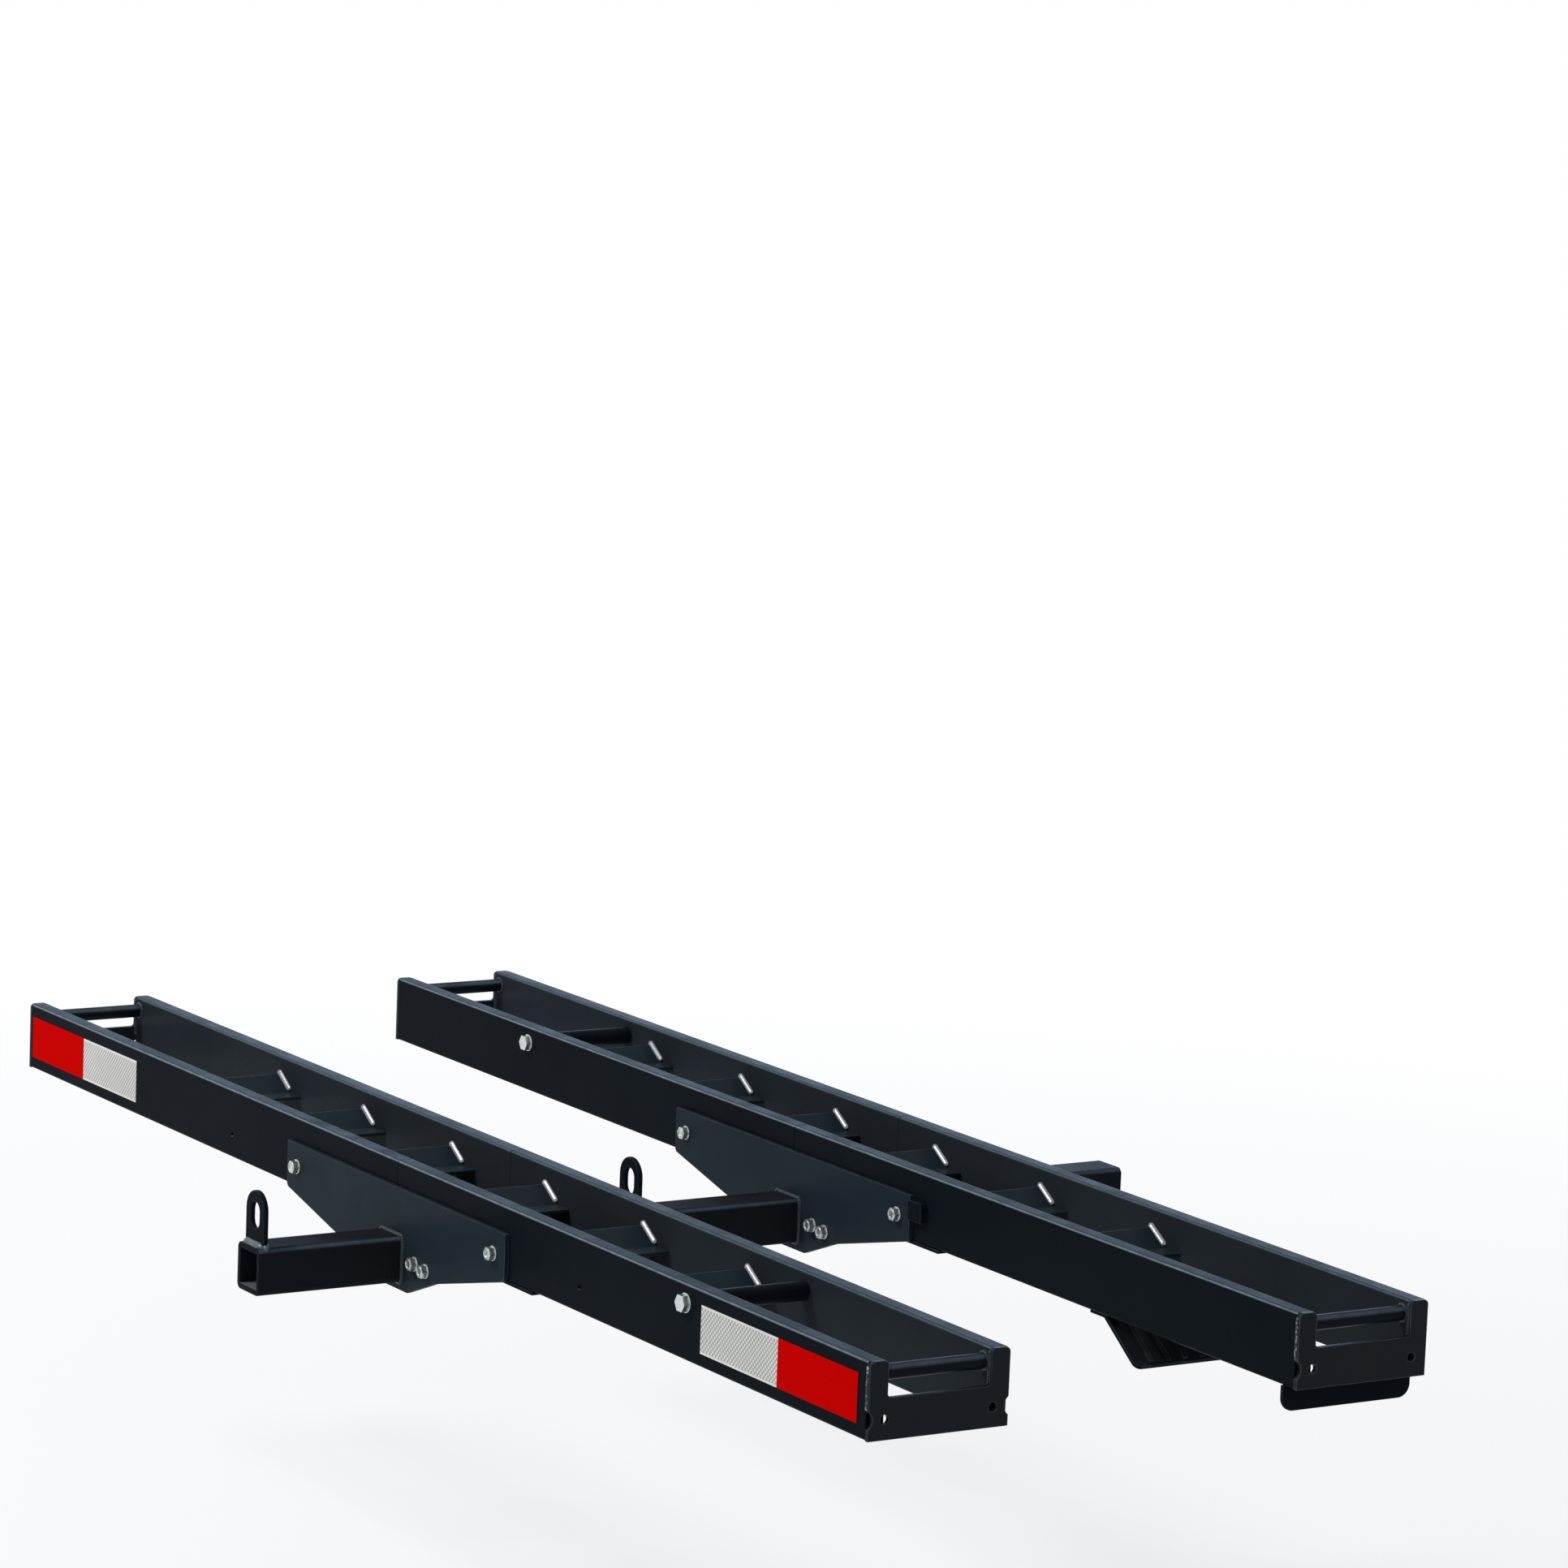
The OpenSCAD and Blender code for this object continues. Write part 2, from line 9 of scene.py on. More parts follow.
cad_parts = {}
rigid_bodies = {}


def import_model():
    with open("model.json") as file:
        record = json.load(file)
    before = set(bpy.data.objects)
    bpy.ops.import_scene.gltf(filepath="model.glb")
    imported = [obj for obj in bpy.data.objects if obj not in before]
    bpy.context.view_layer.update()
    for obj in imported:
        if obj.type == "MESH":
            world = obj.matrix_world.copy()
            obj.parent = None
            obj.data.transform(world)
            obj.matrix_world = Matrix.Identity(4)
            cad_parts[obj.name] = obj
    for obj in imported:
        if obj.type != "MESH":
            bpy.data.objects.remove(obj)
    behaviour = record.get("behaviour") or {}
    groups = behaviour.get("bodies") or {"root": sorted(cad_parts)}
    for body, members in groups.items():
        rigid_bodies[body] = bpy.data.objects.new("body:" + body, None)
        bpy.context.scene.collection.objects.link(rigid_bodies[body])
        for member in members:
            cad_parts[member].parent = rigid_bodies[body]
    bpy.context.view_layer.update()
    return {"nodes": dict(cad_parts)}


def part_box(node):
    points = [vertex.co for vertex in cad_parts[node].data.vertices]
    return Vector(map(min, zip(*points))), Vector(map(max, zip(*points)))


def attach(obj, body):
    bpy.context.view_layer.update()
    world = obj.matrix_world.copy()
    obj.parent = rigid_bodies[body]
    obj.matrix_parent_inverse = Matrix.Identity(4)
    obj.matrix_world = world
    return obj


# The picture and the camera that took it
PHOTO_PX = 1932
FOCAL_PX = 7315
SENSOR_MM = 36
CAMERA_AT = Vector((5.456, -3.775, 1.447))
CAMERA_AZIMUTH = math.radians(58.17)
CAMERA_ELEVATION = math.radians(8.51)
CAMERA_ROLL = math.radians(2.26)

# Body that the weld beads ride on
CARRIER = "carrier"

# Parts of node names, with the way each side or wall faces
TRACKS = ("rear", "front")
SIDES = (("left", -1), ("right", 1))
WALLS = (("back", -1), ("front", 1))
TIE_DOWNS = ("rear", "middle", "front")

# Rungs and tube: what no node's box gives, lengths in metres
RUNGS_PER_HALF = 3
RUNG_RUN = 0.028
RUNG_RISE = 0.017
RUNG_LEDGE = 0.024
TUBE_WALL = 0.00635

# Height of the relief cuts in the end plates, in metres, and the edges that have one
RELIEF_TOP = 0.029
RELIEF_EDGES = (("rear", "right", -1), ("rear", "right", 1), ("front", "right", -1))

# Colours, linear
WHITE = (1, 1, 1, 1)
COAT_DARK = (0.0042, 0.0066, 0.0092, 1)
COAT_LIGHT = (0.0078, 0.0115, 0.0155, 1)
# Front rails: a lighter coat, a painted sheen standing for light reflected on their inner faces
INNER_SHEEN_DARK = (0.0155, 0.0200, 0.0250, 1)
INNER_SHEEN_LIGHT = (0.0275, 0.0340, 0.0415, 1)
TUBE_DARK = (0.0080, 0.0096, 0.0120, 1)
TUBE_LIGHT = (0.0142, 0.0165, 0.0200, 1)
GUSSET_DARK = (0.0115, 0.0190, 0.0240, 1)
GUSSET_LIGHT = (0.0170, 0.0265, 0.0340, 1)
END_DARK = (0.0130, 0.0165, 0.0200, 1)
END_LIGHT = (0.0190, 0.0230, 0.0265, 1)
WELD_DARK = (0.012, 0.018, 0.025, 1)
WELD_LIGHT = (0.040, 0.054, 0.068, 1)
# Welds on the right ends: a dark bead with pale spots, which are painted glints
SPOT_WELD_DARK = (0.034, 0.044, 0.054, 1)
WELD_GLINT_LIGHT = (0.46, 0.49, 0.52, 1)
# Tie-down welds: pale tones, a painted sheen standing for light reflected on the glossy bead
WELD_SHEEN_DARK = (0.050, 0.065, 0.080, 1)
WELD_SHEEN_LIGHT = (0.120, 0.140, 0.165, 1)
# Rung welds: pale tones, a painted highlight standing for the glint along each glossy bead
RUNG_WELD_HIGHLIGHT_DARK = (0.150, 0.178, 0.208, 1)
RUNG_WELD_HIGHLIGHT_LIGHT = (0.205, 0.235, 0.270, 1)
DUST = (0.085, 0.092, 0.100, 1)
# Colours of the round upper corners of the box sections: painted highlights
RAIL_CORNER_HIGHLIGHT = (0.210, 0.252, 0.305, 1)
INNER_CORNER_HIGHLIGHT = (0.105, 0.135, 0.172, 1)
TUBE_CORNER_HIGHLIGHT = (0.062, 0.080, 0.104, 1)
BAR_CORNER_HIGHLIGHT = (0.075, 0.095, 0.120, 1)
# Pale colour along sharp edges, a painted highlight and partly rubbed wear; also the pale tone on the
# floor inside the hitch tube
PALE_EDGE_AND_TUBE_FLOOR = (0.110, 0.130, 0.145, 1)
# End plates' edge colour: a painted highlight along their sharp edges
PALE_EDGE_HIGHLIGHT = (0.200, 0.230, 0.260, 1)
SPECK = (0.30, 0.33, 0.35, 1)
ZINC_DARK = (0.42, 0.46, 0.46, 1)
ZINC_LIGHT = (0.78, 0.82, 0.82, 1)
RED_DARK = (0.50, 0.0006, 0.0004, 1)
RED_LIGHT = (0.67, 0.0010, 0.0006, 1)
TAPE_DARK = (0.260, 0.254, 0.240, 1)
TAPE_LIGHT = (0.890, 0.870, 0.830, 1)
FLOOR_TONE = (0.93, 0.93, 0.93, 1)

# Least and most roughness of each finish
GLOSS = (0.24, 0.38)
SATIN = (0.30, 0.44)
WELD_ROUGH = (0.18, 0.28)
ZINC_ROUGH = (0.20, 0.36)
TAPE_ROUGH = (0.32, 0.50)

# Index of refraction of each finish, which sets how strongly it mirrors, and how metallic the zinc is
COAT_IOR = 1.05
SMOOTH_IOR = 1.10
TUBE_IOR = 1.04
GUSSET_IOR = 1.09
WELD_IOR = 1.25
SPOT_WELD_IOR = 1.3
PALE_WELD_IOR = 1.4
BRIGHT_WELD_IOR = 1.8
TAPE_IOR = 1.02
ZINC_METALLIC = 0.9

# Scales of the patterns in the finishes, per metre
CLOUD_SCALE = 5.0
DUST_SCALE = 14.0
SPECK_SCALE = 22.0
SHINE_SCALE = 24.0
EDGE_NOISE_SCALE = 60.0
PEEL_SCALE = 420.0
WELD_SHINE_SCALE = 240.0
WELD_GRAIN_SCALE = 900.0
ZINC_TONE_SCALE = 220.0
ZINC_SHINE_SCALE = 130.0
ZINC_GRAIN_SCALE = 1500.0
SOIL_SCALE = 30.0

# Strength of each bump, and its depth in metres
PEEL_BUMP = (0.10, 0.0006)
WELD_BUMP = (0.08, 0.0004)
BRIGHT_WELD_BUMP = (0.02, 0.0004)
ZINC_BUMP = (0.12, 0.0003)
TAPE_BUMP = (0.12, 0.0003)

# Scale of the patches on a weld, and the noise values where its dark and its light tone are full
WELD_MOTTLE = (110.0, (0.0, 1.0))
# The spots of the right-end welds are painted glints
WELD_GLINT_SPOTS = (330.0, (0.50, 0.66))

# Values between which each mask goes from none to full
FULL = (0.0, 1.0)
NOISE_SPREAD = (0.3, 0.7)
EDGE_SPREAD = (0.35, 0.7)
EDGE_TURN = (0.99, 0.80)
CORNER_TURN = (0.96, 0.80)
CORNER_RISE = (0.10, 0.50)
DUST_RISE = (0.4, 1.0)
DUST_SPREAD = (0.42, 0.72)
TUBE_FLOOR_RISE = (0.5, 0.9)
SPECK_CHOICE = (0.74, 0.76)
SPECK_REACH = (0.032, 0.020)
SOIL_SPREAD = (0.25, 0.75)

# Least and most share of a mask that shows
# The first share is for the painted corner highlight, the second for the pale edges, which are a painted
# highlight and partly wear
CORNER_HIGHLIGHT_SHARE = (0.60, 1.0)
EDGE_HIGHLIGHT_AND_WEAR_SHARE = (0.25, 0.9)
DUST_COVER = (0.0, 0.10)
CLEAN_SHARE = (0.75, 1.0)

# Finish of each kind of coated piece, by the ending of its name
FINISH_OF = (
    ("_gusset", "gusset"),
    ("_rungs", "gusset"),
    ("_end_plate", "end_plate"),
    ("_wheel_bar", "bar"),
    ("_front_rail", "inner_rail"),
    ("_rail", "rail"),
    ("hitch_tube", "tube"),
)

# Edge rounding of each kind of piece, by the ending of its name, in metres
EDGE_OF = (
    ("_tie_down_plate", 0.0018),
    ("_end_plate", 0.0014),
    ("_plate", 0.0009),
    ("_plates", 0.0009),
    ("_gusset", 0.0009),
    ("_rungs", 0.0009),
    ("_lug", 0.0009),
    ("hitch_tube", 0.0009),
)
ZINC_EDGE = 0.0004
EDGE_SEGMENTS = 2
SHARP_ANGLE = math.radians(50)
FLAT_ANGLE = math.radians(0.5)
JOIN_WITHIN = 0.00001

# How far the pale edge colour, a painted highlight and partly wear, reaches from a sharp edge, in metres,
# and how many rays look for the edge
EDGE_MASK_REACH = 0.0016
EDGE_MASK_SAMPLES = 4

# Reflective sheets: cell size and plain border in metres
TAPE_CELL = (0.0056, 0.0058)
TAPE_BORDER = 0.0022

# Half a cell, and how far from a line, in cells, it is still full and has faded away
HALF_CELL = 0.5
TAPE_LINE = (0.06, 0.24)

# Brightness of the fainter lines and of the cells beside them
FALLING_LINE = (0.25, 1.0)

# How dark the lines are on each sheet
RED_DEPTH = 0.35
WHITE_DEPTH = 0.85

# Shape shared by all weld beads: step and ripple length in metres, the rest relative to the bead
BEAD_STEP = 0.0008
BEAD_SIDES = 16
BEAD_TIP = 0.12
RIPPLE_LENGTH = 0.0034
RIPPLE_LEAD = 0.5
DRIFT = 0.35
DRIFT_RATE = 1.7

# Radius of each kind of bead in metres, and its bulge and ripples as shares of that radius
RUNG_BEAD = {"radius": 0.0036, "face": 0.35, "ripple": 0.0}
TUBE_BEAD = {"radius": 0.0032, "face": 0.7, "ripple": 0.10}
TIE_DOWN_BEAD = {"radius": 0.0060, "face": 0.75, "ripple": 0.06}
END_EDGE_BEAD = {"radius": 0.0017, "face": 1.0, "ripple": 0.14}
END_CORNER_BEAD = {"radius": 0.0030, "face": 0.7, "ripple": 0.14}
BAR_BEAD = {"radius": 0.0024, "face": 1.0, "ripple": 0.08}
BAR_BEAD_POINTS = 40

# Places of the beads in metres, and how far the edge beads lean to the outer end
RUNG_BEAD_BEFORE_RIDGE = 0.004
RUNG_BEAD_LIFT = 0.002
RUNG_BEAD_LENGTH = 0.034
END_EDGE_MARGIN = 0.004
END_EDGE_OVER_PLATE = 0.0008
END_EDGE_INSET = 0.0006
END_EDGE_LEAN = 0.3
END_CORNER_START = 0.030
END_CORNER_MARGIN = 0.003

# Sky light
SKY = (0.86, 0.93, 1.0, 1)
SKY_STRENGTH = 0.5

# Lamps: way and distance from the point that they light, size in metres, power and colour
LIT_POINT = Vector((0, -0.6, 0.05))
KEY_WAY = Vector((-0.23, -0.59, 0.77))
KEY_DISTANCE = 4.2
KEY_SIZE = (1.1, 1.1)
KEY_WATTS = 95
KEY_COLOUR = (1.0, 0.98, 0.95)
PANEL_WAY = Vector((-0.84, 0.52, 0.0))
PANEL_DISTANCE = 7.0
PANEL_RISE = Vector((0, 0, 2.2))
PANEL_SIZE = (9.0, 4.0)
PANEL_WATTS = 165
PANEL_COLOUR = (0.30, 0.58, 1.0)

# Floor: place and radius in metres, corners, the shares of its radius where it fades, and its glow
FLOOR_CENTRE = Vector((0, -0.55, -0.46))
FLOOR_RADIUS = 4.0
FLOOR_CORNERS = 96
FLOOR_FADE = (0.3, 0.95)
FLOOR_GLOW = 0.72


def clear_scene():
    """Empties the start-up scene."""
    for obj in list(bpy.data.objects):
        bpy.data.objects.remove(obj)


def add_object(name, data):
    """New object in the scene."""
    made = bpy.data.objects.new(name, data)
    bpy.context.scene.collection.objects.link(made)
    return made


def add_mesh(name, mesh, material):
    """New object in the scene from a finished mesh and its material."""
    data = bpy.data.meshes.new(name)
    mesh.to_mesh(data)
    mesh.free()
    data.materials.append(material)
    return add_object(name, data)


def add_camera():
    """Camera at the picture's place, angle and roll."""
    flat = math.cos(CAMERA_ELEVATION)
    away = (math.sin(CAMERA_AZIMUTH) * flat, -math.cos(CAMERA_AZIMUTH) * flat)
    back = Vector((*away, math.sin(CAMERA_ELEVATION)))
    level = (-back).cross(Vector((0, 0, 1))).normalized()
    rise = level.cross(-back)
    right = math.cos(CAMERA_ROLL) * level + math.sin(CAMERA_ROLL) * rise
    up = math.cos(CAMERA_ROLL) * rise - math.sin(CAMERA_ROLL) * level
    data = bpy.data.cameras.new("camera")
    data.sensor_width = SENSOR_MM
    data.lens = FOCAL_PX * SENSOR_MM / PHOTO_PX
    camera = add_object("camera", data)
    turn = Matrix((right, up, back)).transposed().to_4x4()
    camera.matrix_world = Matrix.Translation(CAMERA_AT) @ turn
    bpy.context.scene.camera = camera


def add_node(tree, kind, **settings):
    """New shader node with its properties set."""
    made = tree.nodes.new(kind)
    for key, value in settings.items():
        setattr(made, key, value)
    return made


def feed(tree, target, socket, value):
    """Links a socket to an input, or sets the input to a plain value."""
    if isinstance(value, bpy.types.NodeSocket):
        tree.links.new(value, target.inputs[socket])
    else:
        target.inputs[socket].default_value = value


def math_node(tree, operation, *values):
    """Math node on sockets or numbers."""
    made = add_node(tree, "ShaderNodeMath", operation=operation)
    for index, value in enumerate(values):
        feed(tree, made, index, value)
    return made.outputs["Value"]


def noise(tree, place, scale, detail=3.0, roughness=0.5):
    """Fractal noise at a place in the object."""
    made = add_node(tree, "ShaderNodeTexNoise")
    feed(tree, made, "Vector", place)
    feed(tree, made, "Scale", scale)
    feed(tree, made, "Detail", detail)
    feed(tree, made, "Roughness", roughness)
    return made.outputs["Fac"]


def map_range(tree, value, span, result=FULL):
    """Value moved from one range to another, held at its ends."""
    made = add_node(tree, "ShaderNodeMapRange")
    for socket, number in zip(("From Min", "From Max", "To Min", "To Max"), (*span, *result)):
        feed(tree, made, socket, number)
    feed(tree, made, "Value", value)
    return made.outputs["Result"]


def mix_colour(tree, share, first, second):
    """Colour between two others."""
    made = add_node(tree, "ShaderNodeMix", data_type="RGBA")
    feed(tree, made, "Factor", share)
    colours = [socket for socket in made.inputs if socket.type == "RGBA"]
    for socket, value in zip(colours, (first, second)):
        if isinstance(value, bpy.types.NodeSocket):
            tree.links.new(value, socket)
        else:
            socket.default_value = value
    return next(socket for socket in made.outputs if socket.type == "RGBA")


def mix_shader(tree, share, first, second):
    """Shader between two others."""
    made = add_node(tree, "ShaderNodeMixShader")
    for index, socket in enumerate((share, first, second)):
        tree.links.new(socket, made.inputs[index])
    return made.outputs["Shader"]


def bump(tree, height, strength, distance):
    """Surface normal pushed by a height."""
    made = add_node(tree, "ShaderNodeBump")
    feed(tree, made, "Strength", strength)
    feed(tree, made, "Distance", distance)
    feed(tree, made, "Height", height)
    return made.outputs["Normal"]


def split_vector(tree, vector):
    """X, Y and Z of a vector."""
    parts = add_node(tree, "ShaderNodeSeparateXYZ")
    tree.links.new(vector, parts.inputs["Vector"])
    return parts.outputs["X"], parts.outputs["Y"], parts.outputs["Z"]


def surface_normal(tree):
    """Normal of the surface."""
    return add_node(tree, "ShaderNodeNewGeometry").outputs["Normal"]


def new_material(name):
    """Material with its node tree, its shader and the place in the object."""
    material = bpy.data.materials.new(name)
    material.use_nodes = True
    tree = material.node_tree
    shader = tree.nodes["Principled BSDF"]
    place = add_node(tree, "ShaderNodeTexCoord").outputs["Object"]
    return material, tree, shader, place


def edge_mask(tree):
    """1 on sharp edges and 0 on flats, from the angle to a rounded normal."""
    rounded = add_node(tree, "ShaderNodeBevel", samples=EDGE_MASK_SAMPLES)
    feed(tree, rounded, "Radius", EDGE_MASK_REACH)
    turn = add_node(tree, "ShaderNodeVectorMath", operation="DOT_PRODUCT")
    tree.links.new(rounded.outputs["Normal"], turn.inputs[0])
    tree.links.new(surface_normal(tree), turn.inputs[1])
    return map_range(tree, turn.outputs["Value"], EDGE_TURN)


def corner_mask(tree):
    """1 on the round upper corners of a box section that lies along X or Y, and 0 on its flats."""
    parts = split_vector(tree, surface_normal(tree))
    x_size, y_size, z_size = (math_node(tree, "ABSOLUTE", part) for part in parts)
    largest = math_node(tree, "MAXIMUM", math_node(tree, "MAXIMUM", x_size, y_size), z_size)
    round_part = map_range(tree, largest, CORNER_TURN)
    return math_node(tree, "MULTIPLY", round_part, map_range(tree, parts[2], CORNER_RISE))


def upward_mask(tree, rise):
    """1 on faces that look up and 0 on the others, by the rise of their normals."""
    return map_range(tree, split_vector(tree, surface_normal(tree))[2], rise)


def upward_dust(tree, place):
    """Thin dust that settles in patches on faces that look up."""
    patches = noise(tree, place, DUST_SCALE, detail=6.0, roughness=0.65)
    cover = map_range(tree, patches, DUST_SPREAD, DUST_COVER)
    return math_node(tree, "MULTIPLY", upward_mask(tree, DUST_RISE), cover)


def specks(tree, place):
    """Sparse small chips in the coat."""
    cells = add_node(tree, "ShaderNodeTexVoronoi")
    feed(tree, cells, "Vector", place)
    feed(tree, cells, "Scale", SPECK_SCALE)
    chosen = map_range(tree, cells.outputs["Color"], SPECK_CHOICE)
    near = map_range(tree, cells.outputs["Distance"], SPECK_REACH)
    return math_node(tree, "MULTIPLY", chosen, near)


def tube_floor(tree, place):
    """1 on the floor inside the hitch tube and 0 elsewhere."""
    low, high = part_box("hitch_tube")
    x, _, z = split_vector(tree, place)
    inside = math_node(tree, "LESS_THAN", math_node(tree, "ABSOLUTE", x), high.x - TUBE_WALL)
    beneath = math_node(tree, "LESS_THAN", z, low.z + 2 * TUBE_WALL)
    facing = upward_mask(tree, TUBE_FLOOR_RISE)
    return math_node(tree, "MULTIPLY", math_node(tree, "MULTIPLY", inside, beneath), facing)


def powder_coat(name, dark, light, rough, ior, corner=None, edge=PALE_EDGE_AND_TUBE_FLOOR, has_tube_floor=False):
    """Powder coat: cloudy black, fine orange peel, dust on top, pale edges and a few chips.

    A box section gets a painted highlight on its round upper corners; other pieces get a pale colour along
    their sharp edges that is a painted highlight and partly rubbed wear.
    """
    material, tree, shader, place = new_material(name)
    colour = mix_colour(tree, noise(tree, place, CLOUD_SCALE, detail=4.0), dark, light)
    colour = mix_colour(tree, upward_dust(tree, place), colour, DUST)
    # Paler on the floor inside the hitch tube
    if has_tube_floor:
        colour = mix_colour(tree, tube_floor(tree, place), colour, PALE_EDGE_AND_TUBE_FLOOR)
    colour = mix_colour(tree, specks(tree, place), colour, SPECK)
    edge_noise = noise(tree, place, EDGE_NOISE_SCALE, detail=5.0)
    # Painted highlight: a pale colour on the round upper corners of box sections, or along sharp edges,
    # where it is partly rubbed wear too
    if corner:
        share = map_range(tree, edge_noise, NOISE_SPREAD, CORNER_HIGHLIGHT_SHARE)
        edge_tone_share = math_node(tree, "MULTIPLY", corner_mask(tree), share)
    else:
        share = map_range(tree, edge_noise, EDGE_SPREAD, EDGE_HIGHLIGHT_AND_WEAR_SHARE)
        edge_tone_share = math_node(tree, "MULTIPLY", edge_mask(tree), share)
    feed(tree, shader, "Base Color", mix_colour(tree, edge_tone_share, colour, corner or edge))
    shine = noise(tree, place, SHINE_SCALE, detail=5.0)
    feed(tree, shader, "Roughness", map_range(tree, shine, NOISE_SPREAD, rough))
    feed(tree, shader, "Normal", bump(tree, noise(tree, place, PEEL_SCALE, detail=2.0), *PEEL_BUMP))
    feed(tree, shader, "IOR", ior)
    return material


def weld_coat(name, dark, light, ior, grain=WELD_BUMP, mottle=WELD_MOTTLE):
    """Powder coat over a weld bead: glossier than on the flats, with patches between two tones and a fine
    grain. On the pale, spotted and bright beads these tones are painted sheen, glints and highlights.
    """
    material, tree, shader, place = new_material(name)
    scale, span = mottle
    patches = map_range(tree, noise(tree, place, scale, detail=4.0), span)
    feed(tree, shader, "Base Color", mix_colour(tree, patches, dark, light))
    shine = noise(tree, place, WELD_SHINE_SCALE)
    feed(tree, shader, "Roughness", map_range(tree, shine, NOISE_SPREAD, WELD_ROUGH))
    feed(tree, shader, "Normal", bump(tree, noise(tree, place, WELD_GRAIN_SCALE, detail=2.0), *grain))
    feed(tree, shader, "IOR", ior)
    return material


def zinc_plate(name):
    """Zinc plating: pale grey metal with a faint bloom and a fine grain."""
    material, tree, shader, place = new_material(name)
    tone = noise(tree, place, ZINC_TONE_SCALE, detail=5.0, roughness=0.6)
    feed(tree, shader, "Base Color", mix_colour(tree, tone, ZINC_DARK, ZINC_LIGHT))
    feed(tree, shader, "Metallic", ZINC_METALLIC)
    bloom = noise(tree, place, ZINC_SHINE_SCALE, detail=4.0)
    feed(tree, shader, "Roughness", map_range(tree, bloom, NOISE_SPREAD, ZINC_ROUGH))
    feed(tree, shader, "Normal", bump(tree, noise(tree, place, ZINC_GRAIN_SCALE), *ZINC_BUMP))
    return material


def diamond_lines(tree, place):
    """0 on the lines of a diamond grid in X and Z, and 1 in its cells; the lines that fall are fainter."""
    width, height = TAPE_CELL
    x, _, z = split_vector(tree, place)
    across = math_node(tree, "DIVIDE", x, width)
    up = math_node(tree, "DIVIDE", z, height)
    rising = math_node(tree, "PINGPONG", math_node(tree, "SUBTRACT", across, up), HALF_CELL)
    falling = math_node(tree, "PINGPONG", math_node(tree, "ADD", across, up), HALF_CELL)
    strong = map_range(tree, rising, TAPE_LINE)
    faint = map_range(tree, falling, TAPE_LINE, FALLING_LINE)
    return math_node(tree, "MULTIPLY", strong, faint)


def plain_border(tree, place, node):
    """1 on the plain strips along the upper and lower edges of a node, and 0 between them."""
    low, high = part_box(node)
    height = math_node(tree, "SUBTRACT", split_vector(tree, place)[2], (low.z + high.z) / 2)
    edge = (high.z - low.z) / 2 - TAPE_BORDER
    return math_node(tree, "GREATER_THAN", math_node(tree, "ABSOLUTE", height), edge)


def reflective_tape(name, node, dark, light, depth):
    """Reflective sheet: a clear face over a grid of sealed cells, with plain edges.

    Depth is how dark the lines of the grid are.
    """
    material, tree, shader, place = new_material(name)
    lines = math_node(tree, "MAXIMUM", diamond_lines(tree, place), plain_border(tree, place, node))
    soil = noise(tree, place, SOIL_SCALE, detail=6.0, roughness=0.6)
    bright = map_range(tree, lines, FULL, (1.0 - depth, 1.0))
    share = math_node(tree, "MULTIPLY", bright, map_range(tree, soil, SOIL_SPREAD, CLEAN_SHARE))
    feed(tree, shader, "Base Color", mix_colour(tree, share, dark, light))
    feed(tree, shader, "Roughness", map_range(tree, soil, NOISE_SPREAD, TAPE_ROUGH))
    feed(tree, shader, "Normal", bump(tree, lines, *TAPE_BUMP))
    feed(tree, shader, "IOR", TAPE_IOR)
    return material


def make_finishes():
    """All finishes of the nodes, by the names that FINISH_OF and the slots give them."""
    return {
        "powder_coat": powder_coat("powder_coat_black", COAT_DARK, COAT_LIGHT, GLOSS, COAT_IOR),
        "rail": powder_coat("powder_coat_rail", COAT_DARK, COAT_LIGHT, GLOSS, COAT_IOR, corner=RAIL_CORNER_HIGHLIGHT),
        "inner_rail": powder_coat("powder_coat_inner_rail", INNER_SHEEN_DARK, INNER_SHEEN_LIGHT, GLOSS, COAT_IOR,
                                  corner=INNER_CORNER_HIGHLIGHT),
        "bar": powder_coat("powder_coat_bar", COAT_DARK, COAT_LIGHT, GLOSS, SMOOTH_IOR, corner=BAR_CORNER_HIGHLIGHT),
        "end_plate": powder_coat("powder_coat_end_plate", END_DARK, END_LIGHT, GLOSS, SMOOTH_IOR,
                                 edge=PALE_EDGE_HIGHLIGHT),
        "tube": powder_coat("powder_coat_tube", TUBE_DARK, TUBE_LIGHT, GLOSS, TUBE_IOR,
                            corner=TUBE_CORNER_HIGHLIGHT, has_tube_floor=True),
        "gusset": powder_coat("powder_coat_gusset", GUSSET_DARK, GUSSET_LIGHT, SATIN, GUSSET_IOR),
        "zinc": zinc_plate("zinc_plate"),
        "red_reflector": reflective_tape("red_tape", "red_reflectors", RED_DARK, RED_LIGHT, RED_DEPTH),
        "white_reflector": reflective_tape("white_tape", "white_reflectors", TAPE_DARK, TAPE_LIGHT,
                                           WHITE_DEPTH),
    }


def soften_edges(obj, width):
    """Small rounding on a node's sharp edges, so that they catch the light."""
    weld = obj.modifiers.new("join", "WELD")
    weld.merge_threshold = JOIN_WITHIN
    flats = obj.modifiers.new("flats", "DECIMATE")
    flats.decimate_type = "DISSOLVE"
    flats.angle_limit = FLAT_ANGLE
    rounding = obj.modifiers.new("edges", "BEVEL")
    rounding.width = width
    rounding.segments = EDGE_SEGMENTS
    rounding.limit_method = "ANGLE"
    rounding.angle_limit = SHARP_ANGLE


